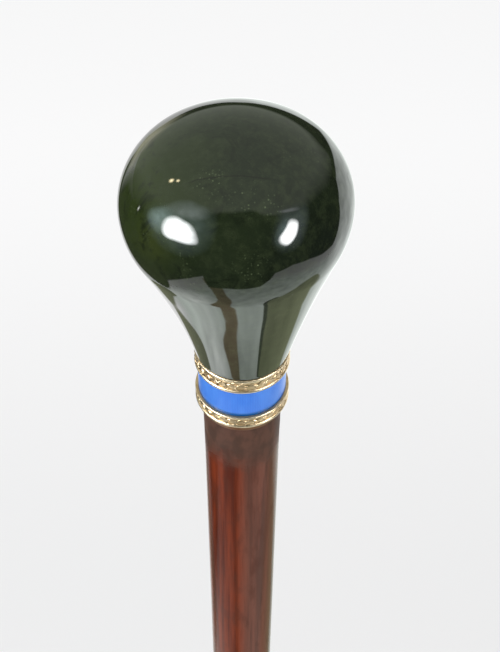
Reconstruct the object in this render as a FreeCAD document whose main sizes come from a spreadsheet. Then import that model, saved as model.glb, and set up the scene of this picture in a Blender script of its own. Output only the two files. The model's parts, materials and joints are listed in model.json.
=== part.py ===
import FreeCAD, Part
import Sketcher
import math
import os

# Walking stick with a hardstone pommel, an enamelled collar and a tapered wooden shaft.
# Sizes are in millimetres and angles in degrees. Z points up the stick, and the origin is
# the middle of the flat end that meets the ground.

SIZES = {
    # Whole stick
    "stick_length": 910,
    "cut_overrun": 1,
    # Pommel: a stone bulb with a low crown, a full belly and a long waist that leans a little
    "pommel_height": 63.7,
    "pommel_width": 49.2,
    "crown_rise": 19.2,
    "crown_flat_share": 0.16,
    "belly_radius": 20.8,
    "waist_radius": 19.6,
    "neck_height": 1.7,
    "foot_bevel": 0.45,
    "knob_lean": 1.7,
    # Joining rod, and the keyed bush that is cemented into the stone
    "rod_diameter": 8,
    "rod_in_shaft": 50,
    "rod_end_gap": 2,
    "rod_end_bevel": 0.8,
    "rod_fit": 0.05,
    "bush_length": 24,
    "bush_wall": 2.4,
    "bush_flat_count": 2,
    "bush_flat_depth": 0.7,
    "cement_thickness": 0.6,
    # Collar sleeve and the plate in its top
    "sleeve_wall": 1.05,
    "sleeve_fit": 0.05,
    "skirt_length": 2.4,
    "skirt_bevel": 0.3,
    "plate_thickness": 1.2,
    # Enamel between the rims
    "enamel_height": 8.8,
    "enamel_thickness": 0.5,
    # Rims: a lip, a band of chased leaves and a plain wire, each soldered round the sleeve
    "upper_lip_height": 0.9,
    "upper_leaf_height": 2.6,
    "lower_lip_height": 0.6,
    "lower_leaf_height": 2.1,
    "lip_depth": 0.85,
    "rim_wire_height": 1.1,
    "rim_wire_depth": 1.25,
    "rim_wire_face_share": 0.34,
    "rim_wire_edge_share": 0.5,
    "leaf_count": 30,
    "leaf_ground_depth": 0.7,
    "leaf_relief": 0.48,
    "leaf_width_share": 0.86,
    "leaf_length_share": 0.9,
    "leaf_shoulder_share": 0.3,
    # Shaft
    "shaft_top_diameter": 18.8,
    "shaft_foot_diameter": 12.8,
    "tenon_step": 0.5,
    "rod_hole_spare": 2,
    # Ferrule
    "ferrule_length": 40,
    "ferrule_wall": 0.9,
    "ferrule_proud": 0.15,
    "ferrule_fit": 0.05,
    "ferrule_mouth_bevel": 0.3,
    "tip_length": 12,
    "tip_step": 0.2,
    "tip_edge_bevel": 1.2,
    "spigot_length": 6,
    "peg_gap": 0.5,
    "pin_count": 2,
    "pin_diameter": 1.2,
    "pin_length": 4,
    "pin_drop": 12,
    "pin_proud": 0.05,
}

# Radii and heights that follow from the sizes. Heights are above the ground end.
PLACES = {
    # Radii from the middle of the shaft outwards through the collar
    "shaft_radius": "sizes.shaft_top_diameter / 2",
    "tenon_radius": "shaft_radius - sizes.tenon_step",
    "sleeve_bore_radius": "tenon_radius + sizes.sleeve_fit",
    "sleeve_radius": "sleeve_bore_radius + sizes.sleeve_wall",
    "enamel_radius": "sleeve_radius + sizes.enamel_thickness",
    "lip_radius": "sleeve_radius + sizes.lip_depth",
    "rim_wire_radius": "sleeve_radius + sizes.rim_wire_depth",
    "leaf_ground_radius": "sleeve_radius + sizes.leaf_ground_depth",
    "leaf_top_radius": "leaf_ground_radius + sizes.leaf_relief",
    "leaf_half_width": "leaf_ground_radius * pi / sizes.leaf_count * sizes.leaf_width_share",
    # Radii of the rod's hole, the bush and the cavity in the stone
    "rod_hole_radius": "sizes.rod_diameter / 2 + sizes.rod_fit",
    "bush_radius": "rod_hole_radius + sizes.bush_wall",
    "cavity_radius": "bush_radius + sizes.cement_thickness",
    "cavity_depth": "sizes.bush_length + sizes.cement_thickness",
    # Pommel outline
    "neck_radius": "lip_radius + sizes.foot_bevel",
    "belly_height": "sizes.pommel_height - sizes.crown_rise",
    "shoulder_radius": "sizes.crown_rise * (1 - sizes.crown_flat_share)",
    "shoulder_inset": "sizes.pommel_width / 2 - shoulder_radius",
    "crown_radius": "(shoulder_inset ^ 2 + sizes.crown_rise ^ 2 - shoulder_radius ^ 2)"
                    " / (2 * (sizes.crown_rise - shoulder_radius))",
    "foot_spare": "neck_radius * tan(sizes.knob_lean * 1 deg) + sizes.cut_overrun",
    "crown_height": "(sizes.pommel_height - crown_radius) * cos(sizes.knob_lean * 1 deg) + crown_radius",
    # Heights down the collar from the seat of the stone
    "seat_height": "sizes.stick_length - crown_height",
    "upper_lip_bottom": "seat_height - sizes.upper_lip_height",
    "upper_leaf_bottom": "upper_lip_bottom - sizes.upper_leaf_height",
    "upper_wire_bottom": "upper_leaf_bottom - sizes.rim_wire_height",
    "enamel_bottom": "upper_wire_bottom - sizes.enamel_height",
    "lower_lip_bottom": "enamel_bottom - sizes.lower_lip_height",
    "lower_leaf_bottom": "lower_lip_bottom - sizes.lower_leaf_height",
    "lower_wire_bottom": "lower_leaf_bottom - sizes.rim_wire_height",
    "sleeve_bottom": "lower_wire_bottom - sizes.skirt_length",
    "tenon_top": "seat_height - sizes.plate_thickness",
    "rod_bottom": "tenon_top - sizes.rod_in_shaft",
    "rod_length": "sizes.rod_in_shaft + sizes.plate_thickness + sizes.bush_length - sizes.rod_end_gap",
    # Ferrule: a parallel tube, with the wearing tip's spigot in its foot and the wood's peg above
    "shaft_foot_radius": "sizes.shaft_foot_diameter / 2",
    "ferrule_radius": "shaft_foot_radius + sizes.ferrule_proud",
    "tip_radius": "ferrule_radius - sizes.tip_step",
    "ferrule_bore_radius": "ferrule_radius - sizes.ferrule_wall",
    "peg_radius": "ferrule_bore_radius - sizes.ferrule_fit",
    "ferrule_mouth": "sizes.tip_length + sizes.ferrule_length",
    "peg_foot": "sizes.tip_length + sizes.spigot_length + sizes.peg_gap",
    "pin_height": "ferrule_mouth - sizes.pin_drop",
    "pin_root_radius": "ferrule_radius + sizes.pin_proud - sizes.pin_length",
}

FULL_TURN = 360
SAME_PLACE = 1e-6
UP = FreeCAD.Vector(0, 0, 1)
# Numbers by which a sketch knows the points of its lines, and its own two axes.
# Its across axis starts at the sketch's origin.
START_INDEX, END_INDEX, MIDDLE_INDEX = 1, 2, 3
ACROSS_AXIS_INDEX = -1
UP_AXIS_INDEX = -2
CUTTING_TYPES = ("PartDesign::Pocket", "PartDesign::Groove", "PartDesign::Chamfer")


def fill_sheet(document):
    """Write each driving size into the sheet, one row each."""
    sheet = document.addObject("Spreadsheet::Sheet", "sizes")
    for row, (name, value) in enumerate(SIZES.items(), start=1):
        sheet.set(f"A{row}", name)
        sheet.set(f"B{row}", str(value))
        sheet.setAlias(f"B{row}", name)
    document.recompute()


def work_out_places(document):
    """Bind the radii and heights that the sub-parts share to the sheet."""
    places = document.addObject("App::VarSet", "places")
    for name, expression in PLACES.items():
        places.addProperty("App::PropertyFloat", name)
        places.setExpression(name, expression)
    document.recompute()


def value_of(document, expression):
    """Return the number that an expression stands for now."""
    return float(document.getObject("sizes").evalExpression(expression))


def start_body(document, name, height=None):
    """Begin a sub-part whose own origin lies on the stick's axis at the given height."""
    body = document.addObject("PartDesign::Body", name)
    body.Label = name
    if height:
        body.setExpression("Placement.Base.z", height)
    return body


def origin_feature(body, role):
    """Find one of a body's own axes or planes."""
    return next(feature for feature in body.Origin.OriginFeatures if feature.Role == role)


def start_sketch(body, name, plane, offset=None):
    """Lay a sketch on one of the body's planes, or at an offset from it."""
    sketch = body.newObject("Sketcher::SketchObject", name)
    sketch.AttachmentSupport = [(origin_feature(body, plane), "")]
    sketch.MapMode = "FlatFace"
    if offset:
        sketch.setExpression("AttachmentOffset.Base.z", offset)
    return sketch


def bind(sketch, kind, *references, size):
    """Add a constraint and bind its size to an expression."""
    start = value_of(sketch.Document, size)
    number = sketch.addConstraint(Sketcher.Constraint(kind, *references, start))
    sketch.setExpression(f"Constraints[{number}]", size)


def hold_point(sketch, line, end, across, up):
    """Hold one end of a line at a place. A minus in front puts it left of or below the origin."""
    for kind, axis, place in (("DistanceX", UP_AXIS_INDEX, across), ("DistanceY", ACROSS_AXIS_INDEX, up)):
        if place == "0":
            sketch.addConstraint(Sketcher.Constraint("PointOnObject", line, end, axis))
        elif place.startswith("-"):
            bind(sketch, kind, line, end, ACROSS_AXIS_INDEX, START_INDEX, size=place[1:])
        else:
            bind(sketch, kind, ACROSS_AXIS_INDEX, START_INDEX, line, end, size=place)


def draw_circle(sketch, radius, up="0"):
    """Draw a circle on the sketch's upright axis."""
    centre = FreeCAD.Vector(0, value_of(sketch.Document, up), 0)
    circle = sketch.addGeometry(Part.Circle(centre, UP, value_of(sketch.Document, radius)))
    hold_point(sketch, circle, MIDDLE_INDEX, "0", up)
    bind(sketch, "Radius", circle, size=radius)


def draw_outline(sketch, corners):
    """Join corners, each a pair of expressions for its place across and up, by straight lines."""
    document = sketch.Document
    points = [FreeCAD.Vector(value_of(document, across), value_of(document, up), 0)
              for across, up in corners]
    lines = [sketch.addGeometry(Part.LineSegment(point, points[(number + 1) % len(points)]))
             for number, point in enumerate(points)]
    for number, line in enumerate(lines):
        following = lines[(number + 1) % len(lines)]
        sketch.addConstraint(Sketcher.Constraint("Coincident", line, END_INDEX, following, START_INDEX))
    for line, (across, up) in zip(lines, corners):
        hold_point(sketch, line, START_INDEX, across, up)


def pad(body, sketch, name, length):
    """Raise a sketch into a solid along its normal."""
    feature = body.newObject("PartDesign::Pad", name)
    feature.Profile = sketch
    feature.setExpression("Length", length)
    return feature


def pocket(body, sketch, name, depth=None, along_normal=False):
    """Cut a sketch out of the solid, right through where no depth is given."""
    feature = body.newObject("PartDesign::Pocket", name)
    feature.Profile = sketch
    feature.Reversed = along_normal
    if depth:
        feature.setExpression("Length", depth)
    else:
        feature.Type = "ThroughAll"
    return feature


def revolve(body, sketch, name, kind="PartDesign::Revolution"):
    """Turn a sketch once round its upright axis."""
    feature = body.newObject(kind, name)
    feature.Profile = sketch
    feature.ReferenceAxis = (sketch, ["V_Axis"])
    feature.Angle = FULL_TURN
    return feature


def repeat_round(body, feature, name, count):
    """Repeat a feature evenly round the stick's axis."""
    pattern = body.newObject("PartDesign::PolarPattern", name)
    pattern.Originals = [feature]
    pattern.Axis = (origin_feature(body, "Z_Axis"), [""])
    pattern.Angle = FULL_TURN
    pattern.setExpression("Occurrences", count)
    body.Tip = pattern
    return pattern


def edges_at(feature, height, outermost=False):
    """Name the edges that lie level at a height, or only the widest of them."""
    feature.Document.recompute()
    level = [(edge.BoundBox.XMax, f"Edge{number}")
             for number, edge in enumerate(feature.Shape.Edges, start=1)
             if abs(edge.BoundBox.ZMin - height) < SAME_PLACE and edge.BoundBox.ZLength < SAME_PLACE]
    return [max(level)[1]] if outermost else [name for reach, name in level]


def chamfer(body, feature, name, edges, size):
    """Bevel the named edges of a feature."""
    bevel = body.newObject("PartDesign::Chamfer", name)
    bevel.Base = (feature, edges)
    bevel.setExpression("Size", size)
    return bevel


def ring(document, name, bottom, inner_radius, outer_radius, height):
    """Make a plain ring that stands at a height on the stick's axis."""
    body = start_body(document, name, bottom)
    section = start_sketch(body, f"{name}_section", "XY_Plane")
    draw_circle(section, inner_radius)
    draw_circle(section, outer_radius)
    pad(body, section, f"{name}_height", height)
    return body


def draw_pommel_outline(sketch):
    """Draw half the stone: crown, shoulder, belly, flank, waist and neck, each tangent to the next."""
    document = sketch.Document
    height = value_of(document, "sizes.pommel_height")
    half_width = value_of(document, "sizes.pommel_width / 2")
    belly_height = value_of(document, "places.belly_height")
    crown_radius = value_of(document, "places.crown_radius")
    shoulder_radius = value_of(document, "places.shoulder_radius")
    belly_radius = value_of(document, "sizes.belly_radius")
    waist_radius = value_of(document, "sizes.waist_radius")
    neck_radius = value_of(document, "places.neck_radius")
    neck_height = value_of(document, "sizes.neck_height")
    foot = -value_of(document, "places.foot_spare")

    crown_centre = FreeCAD.Vector(0, height - crown_radius, 0)
    shoulder_centre = FreeCAD.Vector(half_width - shoulder_radius, belly_height, 0)
    belly_centre = FreeCAD.Vector(half_width - belly_radius, belly_height, 0)
    waist_centre = FreeCAD.Vector(neck_radius + waist_radius, neck_height, 0)

    # The shoulder begins where the line through both centres leaves the crown.
    shoulder_start = (shoulder_centre - crown_centre).getAngle(FreeCAD.Vector(1, 0, 0))
    # The flank is the tangent that crosses between the belly's circle and the waist's.
    between = waist_centre - belly_centre
    crossing_angle = math.acos((belly_radius + waist_radius) / between.Length)
    flank_start = math.atan2(between.y, between.x) + crossing_angle
    outwards = FreeCAD.Vector(math.cos(flank_start), math.sin(flank_start), 0)

    def arc(centre, radius, first, last):
        return Part.ArcOfCircle(Part.Circle(centre, UP, radius), first, last)

    crown = sketch.addGeometry(arc(crown_centre, crown_radius, shoulder_start, math.pi / 2))
    shoulder = sketch.addGeometry(arc(shoulder_centre, shoulder_radius, 0, shoulder_start))
    belly = sketch.addGeometry(arc(belly_centre, belly_radius, flank_start, 0))
    flank = sketch.addGeometry(Part.LineSegment(belly_centre + outwards * belly_radius,
                                                waist_centre - outwards * waist_radius))
    waist = sketch.addGeometry(arc(waist_centre, waist_radius, flank_start + math.pi, math.pi))
    neck = sketch.addGeometry(Part.LineSegment(FreeCAD.Vector(neck_radius, neck_height, 0),
                                               FreeCAD.Vector(neck_radius, foot, 0)))
    base = sketch.addGeometry(Part.LineSegment(FreeCAD.Vector(neck_radius, foot, 0),
                                               FreeCAD.Vector(0, foot, 0)))
    core = sketch.addGeometry(Part.LineSegment(FreeCAD.Vector(0, foot, 0),
                                               FreeCAD.Vector(0, height, 0)))

    smooth_joints = (
        (crown, START_INDEX, shoulder, END_INDEX),
        (shoulder, START_INDEX, belly, END_INDEX),
        (belly, START_INDEX, flank, START_INDEX),
        (flank, END_INDEX, waist, START_INDEX),
        (waist, END_INDEX, neck, START_INDEX),
    )
    for joint in smooth_joints:
        sketch.addConstraint(Sketcher.Constraint("Tangent", *joint))
    sharp_joints = (
        (neck, END_INDEX, base, START_INDEX),
        (base, END_INDEX, core, START_INDEX),
        (core, END_INDEX, crown, END_INDEX),
    )
    for joint in sharp_joints:
        sketch.addConstraint(Sketcher.Constraint("Coincident", *joint))
    sketch.addConstraint(Sketcher.Constraint("Vertical", neck))
    sketch.addConstraint(Sketcher.Constraint("Horizontal", base))
    sketch.addConstraint(Sketcher.Constraint("PointOnObject", crown, MIDDLE_INDEX, UP_AXIS_INDEX))
    hold_point(sketch, core, START_INDEX, "0", "-places.foot_spare")
    hold_point(sketch, core, END_INDEX, "0", "sizes.pommel_height")
    hold_point(sketch, shoulder, START_INDEX, "sizes.pommel_width / 2", "places.belly_height")
    hold_point(sketch, waist, END_INDEX, "places.neck_radius", "sizes.neck_height")
    bind(sketch, "DistanceY", ACROSS_AXIS_INDEX, START_INDEX, shoulder, MIDDLE_INDEX,
         size="places.belly_height")
    bind(sketch, "Radius", shoulder, size="places.shoulder_radius")
    bind(sketch, "Radius", belly, size="sizes.belly_radius")
    bind(sketch, "Radius", waist, size="sizes.waist_radius")


def make_pommel(document):
    """Turn the stone on its leaning axis, cut its foot level and bore it for the bush."""
    body = start_body(document, "pommel", "places.seat_height")
    outline = start_sketch(body, "pommel_outline", "XZ_Plane")
    outline.setExpression("AttachmentOffset.Rotation.Yaw", "sizes.knob_lean")
    draw_pommel_outline(outline)
    revolve(body, outline, "pommel_turned")

    foot = start_sketch(body, "pommel_foot", "XY_Plane")
    draw_circle(foot, "places.neck_radius + sizes.cut_overrun")
    pocket(body, foot, "pommel_foot_cut")
    bevel = start_sketch(body, "pommel_foot_bevel", "XZ_Plane")
    bevel_size = "sizes.foot_bevel + sizes.cut_overrun"
    draw_outline(bevel, [("places.lip_radius", "0"),
                         (f"places.lip_radius + {bevel_size}", "0"),
                         (f"places.lip_radius + {bevel_size}", bevel_size)])
    revolve(body, bevel, "pommel_foot_bevel_cut", "PartDesign::Groove")

    mouth = start_sketch(body, "pommel_cavity", "XY_Plane")
    draw_circle(mouth, "places.cavity_radius")
    pocket(body, mouth, "pommel_cavity_cut", "places.cavity_depth", along_normal=True)
    return body


def make_bush(document):
    """Make the tube that takes the rod, with two flats that key it into the cement."""
    body = ring(document, "pommel_bush", "places.seat_height", "places.rod_hole_radius",
                "places.bush_radius", "sizes.bush_length")
    flat = start_sketch(body, "bush_flat", "XY_Plane")
    inner = "places.bush_radius - sizes.bush_flat_depth"
    outer = "places.bush_radius + sizes.cut_overrun"
    draw_outline(flat, [(inner, f"-{outer}"), (outer, f"-{outer}"), (outer, outer), (inner, outer)])
    cut = pocket(body, flat, "bush_flat_cut", "sizes.bush_length", along_normal=True)
    repeat_round(body, cut, "bush_flats", "sizes.bush_flat_count")
    return body


def make_cement(document, bush):
    """Fill the space that the bush leaves in the stone's cavity."""
    def cylinder(name, radius, height):
        solid = document.addObject("Part::Cylinder", name)
        solid.setExpression("Radius", radius)
        solid.setExpression("Height", height)
        solid.setExpression("Placement.Base.z", "places.seat_height")
        return solid

    filled_bush = document.addObject("Part::Fuse", "filled_bush")
    filled_bush.Base = bush
    filled_bush.Tool = cylinder("bush_core", "places.rod_hole_radius", "sizes.bush_length")
    cement = document.addObject("Part::Cut", "bush_cement")
    cement.Base = cylinder("cavity_fill", "places.cavity_radius", "places.cavity_depth")
    cement.Tool = filled_bush
    return cement


def make_rod(document):
    """Make the rod that runs from the shaft through the plate into the bush."""
    body = start_body(document, "joining_rod", "places.rod_bottom")
    section = start_sketch(body, "rod_section", "XY_Plane")
    draw_circle(section, "sizes.rod_diameter / 2")
    rod = pad(body, section, "rod_length", "places.rod_length")
    ends = edges_at(rod, 0) + edges_at(rod, value_of(document, "places.rod_length"))
    body.Tip = chamfer(body, rod, "rod_end_bevels", ends, "sizes.rod_end_bevel")
    return body


def make_plate(document):
    """Make the disc in the top of the sleeve, pierced for the rod."""
    return ring(document, "collar_plate", "places.tenon_top", "places.rod_hole_radius",
                "places.sleeve_bore_radius", "sizes.plate_thickness")


def make_sleeve(document):
    """Make the tube that carries the enamel and the rims, with its skirt's lower edge bevelled."""
    body = ring(document, "collar_sleeve", "places.sleeve_bottom", "places.sleeve_bore_radius",
                "places.sleeve_radius", "places.seat_height - places.sleeve_bottom")
    tube = body.Tip
    edges = edges_at(tube, 0, outermost=True)
    body.Tip = chamfer(body, tube, "skirt_edge", edges, "sizes.skirt_bevel")
    return body


def make_lip(document, name, bottom, height):
    """Make the plain band that borders a rim."""
    return ring(document, name, bottom, "places.sleeve_radius", "places.lip_radius", height)


def make_leaf_band(document, name, bottom, height):
    """Make a band whose outside is chased with upright leaves, repeated round it."""
    body = ring(document, name, bottom, "places.sleeve_radius", "places.leaf_ground_radius", height)
    leaf = start_sketch(body, f"{name}_leaf", "XZ_Plane", "places.sleeve_radius")
    side = "places.leaf_half_width"
    low_tip = f"{height} * (1 - sizes.leaf_length_share) / 2"
    high_tip = f"{height} * (1 + sizes.leaf_length_share) / 2"
    low_side = f"{height} * sizes.leaf_shoulder_share"
    high_side = f"{height} * (1 - sizes.leaf_shoulder_share)"
    draw_outline(leaf, [("0", low_tip), (side, low_side), (side, high_side),
                        ("0", high_tip), (f"-{side}", high_side), (f"-{side}", low_side)])
    boss = pad(body, leaf, f"{name}_boss", "places.leaf_top_radius - places.sleeve_radius")
    repeat_round(body, boss, f"{name}_leaves", "sizes.leaf_count")
    return body


def make_rim_wire(document, name, bottom):
    """Make the wire that closes a rim, its outside drawn to three flats."""
    body = start_body(document, name, bottom)
    section = start_sketch(body, f"{name}_section", "XZ_Plane")
    inner = "places.sleeve_radius"
    outer = "places.rim_wire_radius"
    edge = "places.sleeve_radius + sizes.rim_wire_depth * sizes.rim_wire_edge_share"
    top = "sizes.rim_wire_height"
    face_bottom = f"{top} * (1 - sizes.rim_wire_face_share) / 2"
    face_top = f"{top} * (1 + sizes.rim_wire_face_share) / 2"
    draw_outline(section, [(inner, "0"), (edge, "0"), (outer, face_bottom),
                           (outer, face_top), (edge, top), (inner, top)])
    revolve(body, section, f"{name}_turned")
    return body


def drill_pin_holes(body, name, height):
    """Drill the holes that the ferrule's pins stand in, evenly round the body."""
    hole = start_sketch(body, f"{name}_hole", "YZ_Plane", "places.pin_root_radius")
    draw_circle(hole, "sizes.pin_diameter / 2", up=height)
    cut = pocket(body, hole, f"{name}_hole_cut", "sizes.pin_length + sizes.cut_overrun", along_normal=True)
    repeat_round(body, cut, f"{name}_holes", "sizes.pin_count")


def make_shaft(document):
    """Turn the wood with a tenon for the collar and a peg for the ferrule, and drill it."""
    body = start_body(document, "shaft")
    outline = start_sketch(body, "shaft_outline", "XZ_Plane")
    draw_outline(outline, [("0", "places.peg_foot"),
                           ("places.peg_radius", "places.peg_foot"),
                           ("places.peg_radius", "places.ferrule_mouth"),
                           ("places.shaft_foot_radius", "places.ferrule_mouth"),
                           ("places.shaft_radius", "places.sleeve_bottom"),
                           ("places.tenon_radius", "places.sleeve_bottom"),
                           ("places.tenon_radius", "places.tenon_top"),
                           ("0", "places.tenon_top")])
    revolve(body, outline, "shaft_turned")

    rod_hole = start_sketch(body, "rod_hole", "XY_Plane", "places.tenon_top")
    draw_circle(rod_hole, "places.rod_hole_radius")
    pocket(body, rod_hole, "rod_hole_cut", "sizes.rod_in_shaft + sizes.rod_hole_spare")
    drill_pin_holes(body, "wood_pin", "places.pin_height")
    return body


def make_ferrule_tube(document):
    """Make the tube on the foot of the shaft, bevelled at its mouth and drilled for its pins."""
    body = ring(document, "ferrule_tube", "sizes.tip_length", "places.ferrule_bore_radius",
                "places.ferrule_radius", "sizes.ferrule_length")
    tube = body.Tip
    mouth = edges_at(tube, value_of(document, "sizes.ferrule_length"), outermost=True)
    body.Tip = chamfer(body, tube, "ferrule_mouth_edge", mouth, "sizes.ferrule_mouth_bevel")
    drill_pin_holes(body, "tube_pin", "sizes.ferrule_length - sizes.pin_drop")
    return body


def make_ferrule_tip(document):
    """Turn the wearing tip, with a spigot that fills the foot of the tube."""
    body = start_body(document, "ferrule_tip")
    outline = start_sketch(body, "ferrule_tip_outline", "XZ_Plane")
    spigot_top = "sizes.tip_length + sizes.spigot_length"
    draw_outline(outline, [("0", "0"),
                           ("places.tip_radius", "0"),
                           ("places.tip_radius", "sizes.tip_length"),
                           ("places.peg_radius", "sizes.tip_length"),
                           ("places.peg_radius", spigot_top),
                           ("0", spigot_top)])
    turned = revolve(body, outline, "ferrule_tip_turned")
    body.Tip = chamfer(body, turned, "tip_edge", edges_at(turned, 0), "sizes.tip_edge_bevel")
    return body


def make_ferrule_pins(document):
    """Make the pins that are driven through the ferrule into the wood."""
    body = start_body(document, "ferrule_pins", "places.pin_height")
    section = start_sketch(body, "pin_section", "YZ_Plane", "places.pin_root_radius")
    draw_circle(section, "sizes.pin_diameter / 2")
    pin = pad(body, section, "pin_shank", "sizes.pin_length")
    repeat_round(body, pin, "pins", "sizes.pin_count")
    return body


def check_features(document):
    """Stop if a feature failed, or if one that should remove material removed none."""
    for item in document.Objects:
        if "Invalid" in item.State or "Error" in item.State:
            raise RuntimeError(f"{item.Name} could not be built")
        if item.TypeId in CUTTING_TYPES and item.Shape.Volume >= item.BaseFeature.Shape.Volume:
            raise RuntimeError(f"{item.Name} removes nothing")
        if item.TypeId == "Sketcher::SketchObject" and not item.FullyConstrained:
            raise RuntimeError(f"{item.Name} is not fully constrained")


def export(sub_part):
    """Write one sub-part, after making sure that it is a whole, valid solid."""
    if sub_part.Shape.isNull() or not sub_part.Shape.isValid() or not sub_part.Shape.Solids:
        raise RuntimeError(f"{sub_part.Label} is not a valid solid")
    sub_part.Shape.exportStep(f"parts/{sub_part.Label}.step")
    print(f"{sub_part.Label}: {len(sub_part.Shape.Solids)} solid, {sub_part.Shape.Volume:.1f} mm3")


def main():
    document = FreeCAD.newDocument("walking_stick")
    fill_sheet(document)
    work_out_places(document)
    bush = make_bush(document)
    sub_parts = [
        make_pommel(document),
        bush,
        make_cement(document, bush),
        make_rod(document),
        make_plate(document),
        make_sleeve(document),
        make_lip(document, "upper_rim_lip", "places.upper_lip_bottom", "sizes.upper_lip_height"),
        make_leaf_band(document, "upper_leaf_band", "places.upper_leaf_bottom", "sizes.upper_leaf_height"),
        make_rim_wire(document, "upper_rim_wire", "places.upper_wire_bottom"),
        ring(document, "enamel_band", "places.enamel_bottom", "places.sleeve_radius",
             "places.enamel_radius", "sizes.enamel_height"),
        make_lip(document, "lower_rim_lip", "places.lower_lip_bottom", "sizes.lower_lip_height"),
        make_leaf_band(document, "lower_leaf_band", "places.lower_leaf_bottom", "sizes.lower_leaf_height"),
        make_rim_wire(document, "lower_rim_wire", "places.lower_wire_bottom"),
        make_shaft(document),
        make_ferrule_tube(document),
        make_ferrule_tip(document),
        make_ferrule_pins(document),
    ]
    document.recompute()
    check_features(document)
    os.makedirs("parts", exist_ok=True)
    for sub_part in sub_parts:
        export(sub_part)


main()
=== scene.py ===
import json
import math

import bpy
from mathutils import Matrix, Vector, noise


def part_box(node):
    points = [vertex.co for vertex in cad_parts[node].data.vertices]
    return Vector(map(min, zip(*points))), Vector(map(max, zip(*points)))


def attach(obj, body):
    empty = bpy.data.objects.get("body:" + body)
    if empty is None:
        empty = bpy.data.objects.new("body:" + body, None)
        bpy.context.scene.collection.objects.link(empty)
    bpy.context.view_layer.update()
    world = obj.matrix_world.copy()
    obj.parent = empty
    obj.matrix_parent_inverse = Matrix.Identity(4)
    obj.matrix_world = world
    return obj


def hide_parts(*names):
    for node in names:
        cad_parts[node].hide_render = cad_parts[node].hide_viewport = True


# Walking stick with a polished green stone pommel, an enamelled collar and a lacquered shaft.
# Lengths are in metres, written as millimetres times MM. Z points up the stick.
# The scale of a texture is in cells per metre, so 500 makes cells of 2 mm. Colours are linear.

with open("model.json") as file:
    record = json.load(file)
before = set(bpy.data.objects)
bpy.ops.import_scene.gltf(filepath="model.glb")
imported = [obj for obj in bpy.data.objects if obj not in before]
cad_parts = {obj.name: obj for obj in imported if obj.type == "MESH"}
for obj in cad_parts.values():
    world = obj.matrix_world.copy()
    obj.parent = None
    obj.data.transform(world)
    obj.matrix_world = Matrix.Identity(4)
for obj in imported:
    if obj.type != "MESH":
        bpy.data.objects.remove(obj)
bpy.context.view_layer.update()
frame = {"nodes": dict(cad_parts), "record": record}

MM = 0.001
BODY = "root"
FULL_TURN = 2 * math.pi

# The height at which the stone sits on the collar
SEAT_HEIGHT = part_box("pommel")[0].z

# The camera that the photograph was fitted to
EYE_BEFORE_STICK = 200 * MM
EYE_ABOVE_SEAT = 224 * MM
VIEW_DOWN = math.radians(47.4)
VIEW_ASIDE = math.radians(0.51)
VIEW_ROLL = math.radians(0.48)
FOCAL_PIXELS = 1291
PHOTO_LONG_SIDE_PIXELS = 652
SENSOR_SIZE = 36

# Fineness of the meshes: parts round the stick, and rows along it
SHARP_ANGLE = math.radians(35)
POMMEL_SEGMENTS = 256
RING_SEGMENTS = 192
WIRE_SEGMENTS = 256
LEAF_SEGMENTS = 24
LEAF_BAND_ROWS = 26
SHAFT_SEGMENTS = 160
SHAFT_ROWS = 90
SHAFT_FINE_ROWS = 130
TIP_SEGMENTS = 128

# Stone
CROWN_RISE = 19.2 * MM
CROWN_FLAT_SHARE = 0.16
BELLY_RADIUS = 20.8 * MM
WAIST_RADIUS = 215 * MM
NECK_SLOPE = math.radians(13.4)
NECK_PROUD_OF_LIP = 0.25 * MM
FOOT_BEVEL = 0.45 * MM
POMMEL_HEIGHT = 63.7 * MM
POMMEL_WIDTH = 49.2 * MM
KNOB_LEAN = math.radians(1.7)
LEAN_EASE_HEIGHT = 42 * MM

STONE_TINTS = (
    # Centre in millimetres with its height above the seat, inner and outer radius, colour
    ((-18, 0, 58), 6, 26, (0.022, 0.034, 0.008)),
    ((-14, -12.6, 57.5), 1, 9, (0.036, 0.047, 0.012)),
    ((-18, -18, 43), 3, 15, (0.022, 0.029, 0.012)),
    ((20, -8, 50), 4, 20, (0.006, 0.0095, 0.006)),
)
FLECK_CLUSTERS = (
    # Centre in millimetres with its height above the seat
    (-6.2, -12.5, 60.2),
    (1.0, -15.2, 59.3),
    (4.5, -16.5, 58.2),
    (1.8, -24.0, 49.2),
)
# Millimetres from a cluster's centre to where its flecks thin out, and to where they end
FLECK_CLUSTER_REACH = (0.5, 5.0)
STONE_SHIFT = 12 * MM
STONE_DARK = (0.0085, 0.0135, 0.0065)
STONE_PALE = (0.013, 0.020, 0.0085)
STONE_GRAIN = (0.026, 0.036, 0.016)
STONE_VEIN = (0.005, 0.008, 0.004)
STONE_FLECK = (0.076, 0.100, 0.050)
STONE_HAIRLINE = (0.003, 0.003, 0.002)
HAIRLINE_DEPTH = -12.2 * MM
HAIRLINE_SWAY = 1.6 * MM
HAIRLINE_CORE = 0.05 * MM
HAIRLINE_EDGE = 0.24 * MM
# Where the hairline fades in and out across the stone, and how high up it fades in
HAIRLINE_START = (-11.5 * MM, -9 * MM)
HAIRLINE_END = (3 * MM, 8 * MM)
HAIRLINE_FOOT = (SEAT_HEIGHT + 54 * MM, SEAT_HEIGHT + 56 * MM)

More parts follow.
